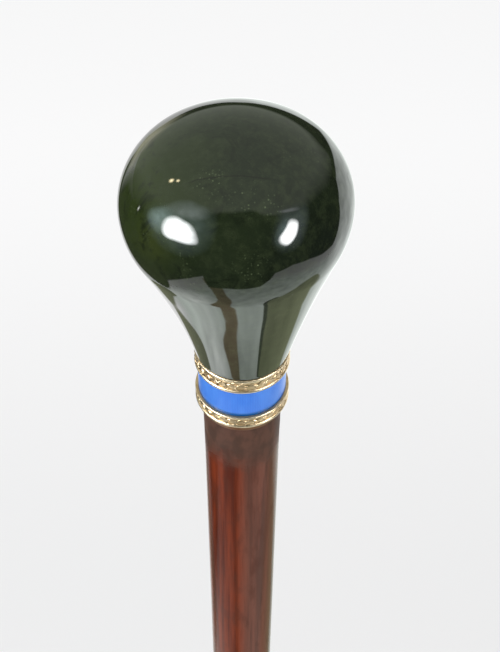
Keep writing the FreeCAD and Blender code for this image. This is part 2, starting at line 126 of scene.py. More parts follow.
# Collar
LEAF_COUNT = 30
LEAF_RELIEF = 0.34 * MM
MIDRIB_HALF_WIDTH = 0.035
LEAVES = (
    # Root along the band and across it, turn, length and half width, in shares of the space for one
    # set of leaves, and rise as a share of the relief
    (-0.10, 0.0, 0, 1.22, 0.24, 1.0),
    (0.25, 0.10, math.radians(33), 0.92, 0.19, 0.85),
    (0.25, -0.10, math.radians(-33), 0.92, 0.19, 0.85),
)
LIP_ROUNDING_SHARE = 0.42
WIRE_ROUNDING_SHARE = 0.49
ENAMEL_EDGE_ROUNDING = 0.15 * MM
SLEEVE_WALL = 1.05 * MM
SLEEVE_BORE_ROUNDING = 0.2 * MM
SLEEVE_SKIRT_ROUNDING = 0.3 * MM
GILDING_BRIGHT = (0.80, 0.595, 0.37)
GILDING_DULL = (0.66, 0.45, 0.25)
# Painted highlight on the parts that stand out furthest
GILDING_PROUD_HIGHLIGHT = (0.93, 0.765, 0.56)
# Patina with painted shade in the hollows of the chasing
GILDING_PIT_PATINA_AND_SHADE = (0.27, 0.145, 0.058)
# Painted shade and a painted reflection of the red shaft on the skirt
GILDING_SKIRT_SHADE = (0.19, 0.082, 0.038)
PROUD_HIGHLIGHT_DEPTH = 0.22 * MM
PIT_WIDTH = 0.3 * MM
SKIRT_SHADE_LENGTH = 1.6 * MM
ENAMEL_DEEP = (0.052, 0.195, 0.73)
ENAMEL_PALE = (0.074, 0.250, 0.80)
ENAMEL_SHINE = (0.07, 0.36, 0.95)
# Pooled enamel together with painted shade from the lower rim
ENAMEL_POOLED_AND_SHADED = (0.001, 0.075, 0.25)
ENGRAVING_LINES = 110
ENGRAVING_WAVE = 1.4 * MM
ENGRAVING_SWING = 0.9
POOL_AND_SHADE_SOLID_HEIGHT = 0.2 * MM
POOL_AND_SHADE_FADED_HEIGHT = 1.35 * MM

# Shaft
TENON_INSET = 1.1 * MM
FOOT_INSET = 0.15 * MM
PEG_INSET = 0.95 * MM
FINE_LENGTH = 60 * MM
UNEVENNESS = 0.04 * MM
SWELLING = 0.07 * MM
SWELLING_LENGTH = 5 * MM
SWELLING_EASE = 8 * MM
SWELLING_RAGGEDNESS = 3 * MM
NICKS = (
    # Angle round the stick, millimetres below the collar, half width, half height, depth
    (math.radians(196), 8.5, 1.3, 0.9, 0.20),
    (math.radians(252), 9.2, 1.0, 0.5, 0.12),
    (math.radians(262), 12.5, 0.7, 0.6, 0.14),
    (math.radians(236), 15.5, 0.6, 1.0, 0.10),
    (math.radians(183), 41.0, 0.9, 0.7, 0.15),
    (math.radians(300), 27.0, 0.5, 0.8, 0.08),
)
LACQUER_RED = ((0.082, 0.014, 0.006), (0.195, 0.035, 0.013))
# A painted sheen of the pale floor
LACQUER_PAINTED_SHEEN = ((0.100, 0.040, 0.028), (0.165, 0.061, 0.041))
# A painted reflection of the olive mat
LACQUER_MAT_REFLECTION = (0.128, 0.058, 0.034)
LACQUER_FINE_GRAIN = (0.040, 0.012, 0.008)
LACQUER_SHADE = (0.075, 0.022, 0.013)
LACQUER_WORN = ((0.076, 0.041, 0.030), (0.108, 0.053, 0.038))
# Where the painted sheen and the painted reflection of the olive mat fade in across the stick
PAINTED_SHEEN_START = (-1 * MM, 4 * MM)
MAT_REFLECTION_START = (6.6 * MM, 8.2 * MM)
PAINTED_SHEEN_RAGGEDNESS = 3 * MM
WORN_LENGTH = 14.5 * MM
WORN_RAGGEDNESS = 14 * MM
WORN_FADE_START = 2 * MM
WORN_FADE_END = 13 * MM

# Ferrule
FERRULE_WALL = 0.9 * MM
TUBE_FOOT_ROUNDING = 0.15 * MM
TUBE_TOP_ROUNDING = 0.35 * MM
TIP_EDGE_ROUNDING = 1.3 * MM
TIP_SHOULDER_ROUNDING = 0.12 * MM

TURNED_METALS = {
    # Bright and dull colour, roughness where bright, space between the turning lines
    "brass": ((0.70, 0.50, 0.22), (0.42, 0.28, 0.12), 0.22, 0.12 * MM),
    "tip_steel": ((0.42, 0.41, 0.39), (0.20, 0.18, 0.16), 0.3, 0.2 * MM),
    "rod_steel": ((0.55, 0.55, 0.54), (0.40, 0.39, 0.38), 0.25, 0.2 * MM),
}
CEMENT_DARK = (0.42, 0.37, 0.29)
CEMENT_PALE = (0.66, 0.61, 0.52)


def reach(node):
    """The largest radius of a CAD node that stands on the stick's axis."""
    low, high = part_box(node)
    return max(high.x, high.y, -low.x, -low.y)


# Meshes

def smooth_share(value):
    """Ease from 0 to 1 as the value goes from 0 to 1."""
    held = min(max(value, 0), 1)
    return held * held * (3 - 2 * held)


def arc(centre, radius, first, last, count):
    """Points along an arc in the plane of the outline, between two angles."""
    step = (last - first) / count
    return [(centre[0] + radius * math.cos(first + step * number),
             centre[1] + radius * math.sin(first + step * number))
            for number in range(count + 1)]


def straight(first, last, count):
    """Points evenly spaced from one place to another, both included."""
    return [(first[0] + (last[0] - first[0]) * number / count,
             first[1] + (last[1] - first[1]) * number / count)
            for number in range(count + 1)]


def round_corners(corners, steps=4):
    """Turn (radius, height, rounding) corners of a closed outline into points with round corners."""
    points = []
    for number, (across, up, rounding) in enumerate(corners):
        corner = Vector((across, up))
        if not rounding:
            points.append((across, up))
            continue
        before = (Vector(corners[number - 1][:2]) - corner).normalized()
        after = (Vector(corners[(number + 1) % len(corners)][:2]) - corner).normalized()
        half_angle = before.angle(after) / 2
        centre = corner + (before + after).normalized() * rounding / math.sin(half_angle)
        first = corner + before * rounding / math.tan(half_angle) - centre
        last = corner + after * rounding / math.tan(half_angle) - centre
        turn = first.angle_signed(last)
        for step in range(steps + 1):
            spoke = first.copy()
            spoke.rotate(Matrix.Rotation(-turn * step / steps, 2))
            points.append(tuple(centre + spoke))
    return points


def drop_repeats(points, closeness=1e-7):
    """Leave out points that lie on the one before."""
    kept = [points[0]]
    for point in points[1:]:
        if math.dist(point, kept[-1]) > closeness:
            kept.append(point)
    return kept


def add_piece(name, points, faces, material):
    """Make a smooth shaded object that rides on the stick."""
    mesh = bpy.data.meshes.new(name)
    mesh.from_pydata(points, [], faces)
    mesh.validate()
    mesh.shade_smooth()
    mesh.set_sharp_from_angle(angle=SHARP_ANGLE)
    mesh.materials.append(material)
    piece = bpy.data.objects.new(name, mesh)
    bpy.context.scene.collection.objects.link(piece)
    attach(piece, BODY)
    return piece


def turned(angle, radius, height):
    """The place of a point at an angle round the axis."""
    return radius * math.cos(angle), radius * math.sin(angle), height


def lathe(name, outline, segments, material, shape=turned, closed=True):
    """Turn an outline of (radius, height) points round the axis.

    A closed outline makes a ring. An open one starts and ends on the axis. The outline runs so
    that the material lies on its left. shape takes the angle, the radius and the height of each
    point, and returns its place.
    """
    outline = drop_repeats(outline)
    points = [shape(FULL_TURN * number / segments, radius, height)
              for radius, height in (outline if closed else outline[1:-1])
              for number in range(segments)]
    rings = len(points) // segments
    faces = []
    for ring in range(rings if closed else rings - 1):
        above = (ring + 1) % rings
        for number in range(segments):
            following = (number + 1) % segments
            faces.append((ring * segments + number, ring * segments + following,
                          above * segments + following, above * segments + number))
    if not closed:
        for place, ring in ((outline[0], 0), (outline[-1], rings - 1)):
            pole = len(points)
            points.append(shape(0, *place))
            for number in range(segments):
                edge = (ring * segments + (number + 1) % segments, ring * segments + number)
                faces.append((pole, *edge) if ring == 0 else (pole, *reversed(edge)))
    return add_piece(name, points, faces, material)


# Shader nodes

def add_node(tree, kind, inputs=None, **properties):
    """Add a node, set its properties, and give each named input a value or another's output."""
    node = tree.nodes.new(f"ShaderNode{kind}")
    for name, value in properties.items():
        setattr(node, name, value)
    for name, value in (inputs or {}).items():
        if isinstance(value, bpy.types.NodeSocket):
            tree.links.new(value, node.inputs[name])
        else:
            node.inputs[name].default_value = value
    return node


def compute(tree, operation, *values):
    """Do one sum on numbers or outputs."""
    return add_node(tree, "Math", dict(enumerate(values)), operation=operation).outputs[0]


def remap(tree, value, low, high, low_result=0.0, high_result=1.0, kind="SMOOTHSTEP"):
    """Carry a range of values over to another range, and hold it there."""
    inputs = {"Value": value, "From Min": low, "From Max": high,
              "To Min": low_result, "To Max": high_result}
    return add_node(tree, "MapRange", inputs, interpolation_type=kind).outputs[0]


def mix_colours(tree, share, first, second):
    """Mix two colours, each a colour or an output."""
    # This node has several inputs of one name, so its share and colours are found by number
    node = add_node(tree, "Mix", data_type="RGBA")
    for number, value in ((0, share), (6, first), (7, second)):
        if isinstance(value, bpy.types.NodeSocket):
            tree.links.new(value, node.inputs[number])
        elif number:
            node.inputs[number].default_value = (*value, 1)
        else:
            node.inputs[number].default_value = value
    return node.outputs[2]


def noise_value(tree, place, scale, detail=3.0, roughness=0.5, distortion=0.0):
    """Cloudy values round one half."""
    inputs = {"Vector": place, "Scale": scale, "Detail": detail, "Roughness": roughness,
              "Distortion": distortion}
    return add_node(tree, "TexNoise", inputs).outputs[0]


def stretch(tree, place, scales):
    """Scale a place differently along each axis."""
    return add_node(tree, "VectorMath", {0: place, 1: scales}, operation="MULTIPLY").outputs[0]


def split(tree, place):
    """The three lengths of a place: across, deep and up."""
    return add_node(tree, "SeparateXYZ", {0: place}).outputs


def axis_distance(tree, place):
    """How far a place is from the stick's axis."""
    level = stretch(tree, place, (1.0, 1.0, 0.0))
    return add_node(tree, "VectorMath", {0: level}, operation="LENGTH").outputs["Value"]


def start_material(name):
    """Make a material and return it with its tree, its main shader and the object's own place."""
    material = bpy.data.materials.new(name)
    material.use_nodes = True
    tree = material.node_tree
    shader = tree.nodes["Principled BSDF"]
    place = add_node(tree, "TexCoord").outputs["Object"]
    return material, tree, shader, place


def set_shader(tree, shader, **values):
    """Give the main shader its numbers, colours and inputs."""
    for name, value in values.items():
        socket = shader.inputs[name.replace("_", " ")]
        if isinstance(value, bpy.types.NodeSocket):
            tree.links.new(value, socket)
        else:
            socket.default_value = value


def add_bump(tree, shader, height, depth):
    """Raise the surface by a height from 0 to 1 times the depth."""
    bump = add_node(tree, "Bump", {"Height": height, "Distance": depth, "Strength": 1.0})
    tree.links.new(bump.outputs[0], shader.inputs["Normal"])


# Materials

def near(tree, place, centre, inner, outer):
    """1 close to a centre, given in millimetres with its height above the seat, and 0 away from it."""
    across, deep, up = centre
    spot = (across * MM, deep * MM, SEAT_HEIGHT + up * MM)
    away = add_node(tree, "VectorMath", {0: place, 1: spot}, operation="DISTANCE").outputs["Value"]
    return remap(tree, away, inner * MM, outer * MM, 1.0, 0.0)


def green_stone():
    """Dark green stone, polished, with a mossy side, clusters of pale flecks and one dark hairline."""
    material, tree, shader, place = start_material("green_stone")
    cloud = noise_value(tree, place, 38.0, detail=6.0, distortion=0.5)
    colour = mix_colours(tree, remap(tree, cloud, 0.32, 0.68), STONE_DARK, STONE_PALE)
    shift = stretch(tree, noise_value(tree, place, 60.0), (STONE_SHIFT,) * 3)
    shifted = add_node(tree, "VectorMath", {0: place, 1: shift}, operation="ADD").outputs[0]
    for centre, inner, outer, tint in STONE_TINTS:
        colour = mix_colours(tree, near(tree, shifted, centre, inner, outer), colour, tint)

    # Fine mottling and dark veins
    mottling = remap(tree, noise_value(tree, place, 420.0, detail=6.0, roughness=0.75), 0.42, 0.66)
    colour = mix_colours(tree, compute(tree, "MULTIPLY", mottling, 0.55), colour, STONE_GRAIN)
    veins = noise_value(tree, shifted, 150.0, detail=5.0, roughness=0.7, distortion=1.2)
    colour = mix_colours(tree, remap(tree, veins, 0.5, 0.66, 0.0, 0.7), colour, STONE_VEIN)

    # Pale flecks, thick in a few clusters and thin elsewhere
    gather = remap(tree, noise_value(tree, place, 110.0), 0.54, 0.72, 0.0, 0.55)
    for centre in FLECK_CLUSTERS:
        gather = compute(tree, "MAXIMUM", gather, near(tree, place, centre, *FLECK_CLUSTER_REACH))
    spots = add_node(tree, "TexVoronoi", {"Vector": place, "Scale": 1600.0}).outputs
    fleck = remap(tree, spots["Distance"], 0.10, 0.44, 1.0, 0.0)
    some = remap(tree, add_node(tree, "SeparateColor", {0: spots["Color"]}).outputs[0], 0.4, 0.95)
    strength = compute(tree, "MULTIPLY", compute(tree, "MULTIPLY", fleck, some), gather)
    colour = mix_colours(tree, strength, colour, STONE_FLECK)

    # One dark hairline across the front of the crown
    across, deep, up = split(tree, place)
    sway = noise_value(tree, stretch(tree, place, (1.0, 0.0, 0.0)), 140.0, detail=2.0)
    path = compute(tree, "MULTIPLY_ADD", sway, HAIRLINE_SWAY, HAIRLINE_DEPTH)
    aside = compute(tree, "ABSOLUTE", compute(tree, "SUBTRACT", deep, path))
    line = remap(tree, aside, HAIRLINE_CORE, HAIRLINE_EDGE, 0.6, 0.0)
    begun = remap(tree, across, *HAIRLINE_START)
    not_over = remap(tree, across, *HAIRLINE_END, 1.0, 0.0)
    high = remap(tree, up, *HAIRLINE_FOOT)
    for share in (begun, not_over, high):
        line = compute(tree, "MULTIPLY", line, share)
    colour = mix_colours(tree, line, colour, STONE_HAIRLINE)
    set_shader(tree, shader, Base_Color=colour, Roughness=0.045, IOR=1.62)
    return material


def gilt_metal():
    """Old pale gilding, with a painted highlight on what stands proud, patina and painted shade in the
    chasing, and painted shade with a painted reflection of the red shaft on the skirt.
    """
    material, tree, shader, place = start_material("gilt_metal")
    rubbed = noise_value(tree, place, 600.0)
    colour = mix_colours(tree, remap(tree, rubbed, 0.35, 0.7), GILDING_BRIGHT, GILDING_DULL)
    # A painted highlight: paler gold on the wires, lips and leaf tips that stand out furthest
    outermost = reach("lower_rim_wire")
    proud_highlight = remap(tree, axis_distance(tree, place), outermost - PROUD_HIGHLIGHT_DEPTH, outermost)
    colour = mix_colours(tree, proud_highlight, colour, GILDING_PROUD_HIGHLIGHT)
    # Patina and painted shade: brown where the hollows of the chasing are occluded
    occlusion = add_node(tree, "AmbientOcclusion", {"Distance": PIT_WIDTH}).outputs["AO"]
    pit_patina_and_shade = remap(tree, occlusion, 0.3, 0.9, 0.9, 0.0)
    colour = mix_colours(tree, pit_patina_and_shade, colour, GILDING_PIT_PATINA_AND_SHADE)
    # Painted shade under the lower rim wire, with a painted reflection of the red shaft: dark brown on
    # the skirt
    skirt_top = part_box("lower_rim_wire")[0].z
    skirt_shade = remap(tree, split(tree, place)[2], skirt_top - SKIRT_SHADE_LENGTH, skirt_top, 1.0, 0.0)
    colour = mix_colours(tree, skirt_shade, colour, GILDING_SKIRT_SHADE)
    roughness = remap(tree, rubbed, 0.3, 0.7, 0.33, 0.43, "LINEAR")
    set_shader(tree, shader, Base_Color=colour, Metallic=1.0, Roughness=roughness)
    add_bump(tree, shader, noise_value(tree, place, 1800.0), 0.012 * MM)
    return material


def blue_enamel():
    """Blue enamel over an engraved ground, darker along its lower edge as pooled enamel and painted
    shade, and polished.
    """
    material, tree, shader, place = start_material("blue_enamel")
    across, deep, up = split(tree, place)
    angle = compute(tree, "ARCTAN2", deep, across)
    wave = compute(tree, "SINE", compute(tree, "MULTIPLY", up, FULL_TURN / ENGRAVING_WAVE))
    lines = compute(tree, "MULTIPLY", angle, ENGRAVING_LINES)
    engraved = compute(tree, "SINE", compute(tree, "MULTIPLY_ADD", wave, ENGRAVING_SWING, lines))
    cloud = noise_value(tree, stretch(tree, place, (1.0, 1.0, 0.4)), 230.0)
    colour = mix_colours(tree, remap(tree, cloud, 0.35, 0.65), ENAMEL_DEEP, ENAMEL_PALE)
    shine = remap(tree, engraved, -1.0, 1.0, 0.0, 0.12, "LINEAR")
    colour = mix_colours(tree, shine, colour, ENAMEL_SHINE)
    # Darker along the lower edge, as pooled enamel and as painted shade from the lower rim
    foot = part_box("enamel_band")[0].z
    pooled_and_shaded = remap(tree, up, foot + POOL_AND_SHADE_SOLID_HEIGHT, foot + POOL_AND_SHADE_FADED_HEIGHT, 1.0, 0.0)
    colour = mix_colours(tree, pooled_and_shaded, colour, ENAMEL_POOLED_AND_SHADED)
    set_shader(tree, shader, Base_Color=colour, Roughness=0.3, Specular_IOR_Level=0.15,
               Coat_Weight=0.2, Coat_Roughness=0.03)
    return material


def lacquered_wood():
    """Lacquer over long grain, redder towards -X, with a painted sheen towards +X and a painted
    reflection of the olive mat at the +X edge, and dull under the collar.
    """
    material, tree, shader, place = start_material("lacquered_wood")
    parts = split(tree, place)
    across, up = parts[0], parts[2]
    broad = noise_value(tree, stretch(tree, place, (1.0, 1.0, 0.03)), 380.0, detail=4.0, roughness=0.6)
    fine = noise_value(tree, stretch(tree, place, (1.0, 1.0, 0.05)), 1300.0, detail=4.0)
    shade = noise_value(tree, stretch(tree, place, (1.0, 1.0, 0.3)), 260.0, detail=4.0)
    streaks = remap(tree, broad, 0.36, 0.64)
    red = mix_colours(tree, streaks, *LACQUER_RED)
    painted_sheen = mix_colours(tree, streaks, *LACQUER_PAINTED_SHEEN)
    # A painted sheen: mauve-brown towards +X, where the lacquer mirrors the pale floor
    wavering = compute(tree, "MULTIPLY_ADD", shade, PAINTED_SHEEN_RAGGEDNESS, across)
    colour = mix_colours(tree, remap(tree, wavering, *PAINTED_SHEEN_START), red, painted_sheen)
    # A painted reflection: a tan strip at the +X edge for the olive mat that the lacquer mirrors
    colour = mix_colours(tree, remap(tree, across, *MAT_REFLECTION_START), colour, LACQUER_MAT_REFLECTION)
    colour = mix_colours(tree, remap(tree, fine, 0.5, 0.8, 0.0, 0.35), colour, LACQUER_FINE_GRAIN)
    colour = mix_colours(tree, remap(tree, shade, 0.5, 0.7, 0.0, 0.55), colour, LACQUER_SHADE)

    # Dull and brown for a finger's width under the collar, with a ragged end
    worn_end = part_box("collar_sleeve")[0].z - WORN_LENGTH
    raggedness = noise_value(tree, place, 200.0, detail=6.0, roughness=0.7)
    ragged = compute(tree, "MULTIPLY_ADD", raggedness, WORN_RAGGEDNESS, up)
    worn = remap(tree, ragged, worn_end + WORN_FADE_START, worn_end + WORN_FADE_END)
    blotches = noise_value(tree, stretch(tree, place, (1.0, 1.0, 0.5)), 420.0, detail=5.0)
    dull = mix_colours(tree, remap(tree, blotches, 0.38, 0.64), *LACQUER_WORN)
    colour = mix_colours(tree, worn, colour, dull)
    roughness = remap(tree, worn, 0.0, 1.0, 0.16, 0.45, "LINEAR")
    set_shader(tree, shader, Base_Color=colour, Roughness=roughness, Specular_IOR_Level=0.03)
    pores = compute(tree, "ADD", compute(tree, "MULTIPLY", fine, 0.5), noise_value(tree, place, 900.0))
    add_bump(tree, shader, pores, 0.03 * MM)
    return material


def turned_metal(name, bright, dull, roughness, line_spacing):
    """Metal with the fine rings that turning leaves, and cloudy wear."""
    material, tree, shader, place = start_material(name)
    wear = noise_value(tree, place, 130.0, detail=5.0)
    colour = mix_colours(tree, remap(tree, wear, 0.35, 0.7), bright, dull)
    rings = noise_value(tree, stretch(tree, place, (0.02, 0.02, 1.0)), 1 / line_spacing)
    patchy = remap(tree, wear, 0.3, 0.7, roughness, roughness * 1.7, "LINEAR")
    set_shader(tree, shader, Base_Color=colour, Metallic=1.0, Roughness=patchy)
    add_bump(tree, shader, rings, 0.015 * MM)
    return material


def setting_cement():
    """Matt, grainy cement."""
    material, tree, shader, place = start_material("setting_cement")
    grain = noise_value(tree, place, 1500.0, detail=6.0)
    colour = mix_colours(tree, grain, CEMENT_DARK, CEMENT_PALE)
    set_shader(tree, shader, Base_Color=colour, Roughness=0.85)
    add_bump(tree, shader, grain, 0.05 * MM)
    return material


# Pieces

def pommel_outline():
    """The stone's outline from the crown down to the middle of its foot, heights above the seat."""
    half_width = POMMEL_WIDTH / 2
    belly_height = POMMEL_HEIGHT - CROWN_RISE
    shoulder_radius = CROWN_RISE * (1 - CROWN_FLAT_SHARE)
    inset = half_width - shoulder_radius
    crown_radius = ((inset ** 2 + CROWN_RISE ** 2 - shoulder_radius ** 2)
                    / (2 * (CROWN_RISE - shoulder_radius)))
    neck_radius = reach("upper_rim_lip") + NECK_PROUD_OF_LIP
    crown_centre = Vector((0, POMMEL_HEIGHT - crown_radius))
    shoulder_centre = Vector((inset, belly_height))
    belly_centre = Vector((half_width - BELLY_RADIUS, belly_height))
    waist_centre = Vector((neck_radius + WAIST_RADIUS * math.cos(NECK_SLOPE),
                           FOOT_BEVEL - WAIST_RADIUS * math.sin(NECK_SLOPE)))

    # Where one arc hands over to the next, each tangent to its neighbour
    towards = shoulder_centre - crown_centre
    shoulder_start = math.atan2(towards.y, towards.x)
    between = waist_centre - belly_centre
    flank_start = (math.atan2(between.y, between.x)
                   + math.acos((BELLY_RADIUS + WAIST_RADIUS) / between.length))
    outwards = Vector((math.cos(flank_start), math.sin(flank_start)))
    flank_top = belly_centre + outwards * BELLY_RADIUS
    flank_foot = waist_centre - outwards * WAIST_RADIUS
    return [
        *arc(crown_centre, crown_radius, math.pi / 2, shoulder_start, 20),
        *arc(shoulder_centre, shoulder_radius, shoulder_start, 0, 30),
        *arc(belly_centre, BELLY_RADIUS, 0, flank_start, 18),
        *straight(flank_top, flank_foot, 8),
        *arc(waist_centre, WAIST_RADIUS, flank_start + math.pi, math.pi - NECK_SLOPE, 30),
        *arc((neck_radius - FOOT_BEVEL, FOOT_BEVEL), FOOT_BEVEL, 0, -math.pi / 2, 5),
        (0, 0),
    ]


def lean(angle, radius, height):
    """Lean a point of the stone, with the lean easing in from its foot to its belly."""
    tilt = KNOB_LEAN * smooth_share(height / LEAN_EASE_HEIGHT)
    across = radius * math.cos(angle)
    return (across * math.cos(tilt) - height * math.sin(tilt),
            radius * math.sin(angle),
            SEAT_HEIGHT + across * math.sin(tilt) + height * math.cos(tilt))


def make_pommel(material):
    """The stone, smooth enough to mirror the room without facets."""
    outline = list(reversed(pommel_outline()))
    piece = lathe("pommel_stone", outline, POMMEL_SEGMENTS, material, shape=lean, closed=False)
    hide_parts("pommel")


def make_ring(name, node, material, corners, segments=RING_SEGMENTS):
    """A ring that stands for a CAD node, from its corners with their roundings."""
    piece = lathe(name, round_corners(corners), segments, material)
    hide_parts(node)


def make_lip(node, wire, material):
    """The bright bead along the edge of a rim, as wide as the wire at its other edge."""
    low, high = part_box(node)
    inner = reach("collar_sleeve")
    outer = reach(wire)
    rounding = (high.z - low.z) * LIP_ROUNDING_SHARE
    make_ring(f"{node}_drawn", node, material,
              [(inner, low.z, 0), (outer, low.z, rounding),
               (outer, high.z, rounding), (inner, high.z, 0)])


def make_rim_wire(node, material):
    """The half-round wire that closes a rim."""
    low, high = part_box(node)
    inner = reach("collar_sleeve")
    rounding = (high.z - low.z) * WIRE_ROUNDING_SHARE
    make_ring(f"{node}_drawn", node, material,
              [(inner, low.z, 0), (reach(node), low.z, rounding),
               (reach(node), high.z, rounding), (inner, high.z, 0)], WIRE_SEGMENTS)


def leaf_height(along, across, turn, length, half_width, rise):
    """Height of one leaf over a place, as a share of the relief, with its root at the origin."""
    share = (along * math.cos(turn) + across * math.sin(turn)) / length
    aside = -along * math.sin(turn) + across * math.cos(turn)
    if not 0 < share < 1:
        return 0.0
    # Pointed at both ends and widest before the middle
    width = half_width * (4 * share * (1 - share)) ** 0.75 * (1.25 - 0.5 * share)
    if abs(aside) >= width:
        return 0.0
    # Round across with a groove along the middle, and higher towards the tip
    crown = math.sqrt(1 - (aside / width) ** 2)
    midrib = 0.25 * math.exp(-(aside / MIDRIB_HALF_WIDTH) ** 2) * smooth_share(share * 4)
    return rise * (0.45 + 0.55 * share) * crown ** 0.7 * (1 - midrib)


def chased_relief(along, across):
    """Height of the chasing, from 0 to 1, at a place in shares of the space for one set of leaves."""
    start = math.floor(along)
    return max(leaf_height(along - root_along - cell, across - root_across, turn, length,
                           half_width, rise)
               for cell in (start - 1, start, start + 1)
               for root_along, root_across, turn, length, half_width, rise in LEAVES)


def make_leaf_band(node, material):
    """A rim's chased band: overlapping leaves that point round the stick."""
    low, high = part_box(node)
    inner = reach("collar_sleeve")
    top_radius = reach(node)
    ground = top_radius - LEAF_RELIEF
    middle = (low.z + high.z) / 2
    pitch = FULL_TURN * ground / LEAF_COUNT

    def chase(angle, radius, height):
        relief = 0
        if radius > ground - LEAF_RELIEF:
            relief = chased_relief(angle / FULL_TURN * LEAF_COUNT, (height - middle) / pitch)
        return turned(angle, radius + LEAF_RELIEF * relief, height)

    outline = [
        (inner, low.z),
        *straight((ground, low.z), (ground, high.z), LEAF_BAND_ROWS),
        (inner, high.z),
    ]
    piece = lathe(f"{node}_chased", outline, LEAF_COUNT * LEAF_SEGMENTS, material, shape=chase)
    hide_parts(node)


def make_enamel(material):
    """The enamel, its upper edge drawn in where it meets the rim."""
    low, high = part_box("enamel_band")
    inner = reach("collar_sleeve")
    outer = reach("enamel_band")
    make_ring("enamel_fired", "enamel_band", material,
              [(inner, low.z, 0), (outer, low.z, 0),
               (outer, high.z, ENAMEL_EDGE_ROUNDING), (inner, high.z, 0)])


def make_sleeve(material):
    """The tube under the rims, whose rounded skirt shows below them."""
    low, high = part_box("collar_sleeve")
    outer = reach("collar_sleeve")
    bore = outer - SLEEVE_WALL
    make_ring("collar_sleeve_turned", "collar_sleeve", material,
              [(bore, low.z, SLEEVE_BORE_ROUNDING), (outer, low.z, SLEEVE_SKIRT_ROUNDING),
               (outer, high.z, 0), (bore, high.z, 0)])


def cloudy(angle, height, cells_round, cells_up):
    """Cloudy values between -1 and 1 on the shaft, finer for more cells round and up it."""
    return noise.noise(Vector((math.cos(angle) * cells_round, math.sin(angle) * cells_round,
                               height * cells_up)))


def make_shaft(material):
    """The tapered wood, not quite even, swollen and nicked under the collar."""
    low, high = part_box("shaft")
    top_radius = reach("shaft")
    collar_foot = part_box("collar_sleeve")[0].z
    tenon_radius = reach("collar_sleeve") - TENON_INSET
    tube_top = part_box("ferrule_tube")[1].z
    foot_radius = reach("ferrule_tube") - FOOT_INSET
    peg_radius = reach("ferrule_tube") - PEG_INSET
    fine_start = collar_foot - FINE_LENGTH
    fine_radius = top_radius + (foot_radius - top_radius) * FINE_LENGTH / (collar_foot - tube_top)

    def worn(angle, radius, height):
        below = collar_foot - height
        reached = radius
        if height > tube_top and below > 0:
            reached += UNEVENNESS * cloudy(angle, height, 2, 30)
            ragged = below + SWELLING_RAGGEDNESS * cloudy(angle, height, 5, 260)
            reached += SWELLING * (1 - smooth_share((ragged - SWELLING_LENGTH) / SWELLING_EASE))
            for nick_angle, nick_below, half_width, half_height, depth in NICKS:
                aside = math.remainder(angle - nick_angle, FULL_TURN) * radius / (half_width * MM)
                along = (below - nick_below * MM) / (half_height * MM)
                reached -= depth * MM * math.exp(-aside ** 2 - along ** 2)
        return turned(angle, reached, height)

    outline = [
        (0, low.z),
        (peg_radius, low.z),
        (peg_radius, tube_top),
        *straight((foot_radius, tube_top), (fine_radius, fine_start), SHAFT_ROWS),
        *straight((fine_radius, fine_start), (top_radius, collar_foot), SHAFT_FINE_ROWS),
        (tenon_radius, collar_foot),
        (tenon_radius, high.z),
        (0, high.z),
    ]
    piece = lathe("shaft_lacquered", outline, SHAFT_SEGMENTS, material, shape=worn, closed=False)
    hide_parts("shaft")


def make_ferrule(tube_material, tip_material):
    """The tube on the foot of the shaft, and the worn tip below it."""
    low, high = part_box("ferrule_tube")
    outer = reach("ferrule_tube")
    bore = outer - FERRULE_WALL
    make_ring("ferrule_tube_turned", "ferrule_tube", tube_material,
              [(bore, low.z, 0), (outer, low.z, TUBE_FOOT_ROUNDING),
               (outer, high.z, TUBE_TOP_ROUNDING), (bore, high.z, 0)])
    low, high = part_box("ferrule_tip")
    outer = reach("ferrule_tip")
    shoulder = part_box("ferrule_tube")[0].z
    corners = [(0, low.z, 0), (outer, low.z, TIP_EDGE_ROUNDING),
               (outer, shoulder, TIP_SHOULDER_ROUNDING), (bore, shoulder, 0),
               (bore, high.z, 0), (0, high.z, 0)]
    piece = lathe("ferrule_tip_turned", round_corners(corners, steps=8), TIP_SEGMENTS, tip_material,
                  closed=False)
    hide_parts("ferrule_tip")


def dress_cad_nodes(materials):
    """Give each CAD node its material, for the ones that no piece replaces."""
    for entry in frame["record"]["subparts"]:
        mesh = frame["nodes"][entry["node"]].data
        mesh.materials.clear()
        mesh.materials.append(materials[entry["material_slot"]])


# Studio

AMBIENT_LIGHT = 0.8
ROOM = (0.925, 0.925, 0.927)
CEILING = (0.505, 0.54, 0.462)
KNOB_CENTRE = Vector((0, 0, SEAT_HEIGHT + 38 * MM))
CARD_CLOUD_SCALE = 9.0
CARD_UNEVENNESS = 0.2

LAMPS = (
    # Name, azimuth, elevation, distance, size, power, colour
    ("left_lamp", -56, 28, 1.2, 0.8, 7, (0.96, 0.98, 1.0)),
    ("right_lamp", 52, 28, 1.2, 0.6, 3.5, (1.0, 0.99, 0.97)),
)

FLOOR_HALF_WIDTH = 12.0
FLOOR_COLOUR = (0.87, 0.87, 0.872)
# The floor's own light: how far away it begins and is full, and its strength at both
GLOW_BEHIND_STICK = (0.3, 1.15, 0.0, 0.175)
GLOW_AWAY_FROM_STICK = (0.9, 3.3, 0.0, 0.225)

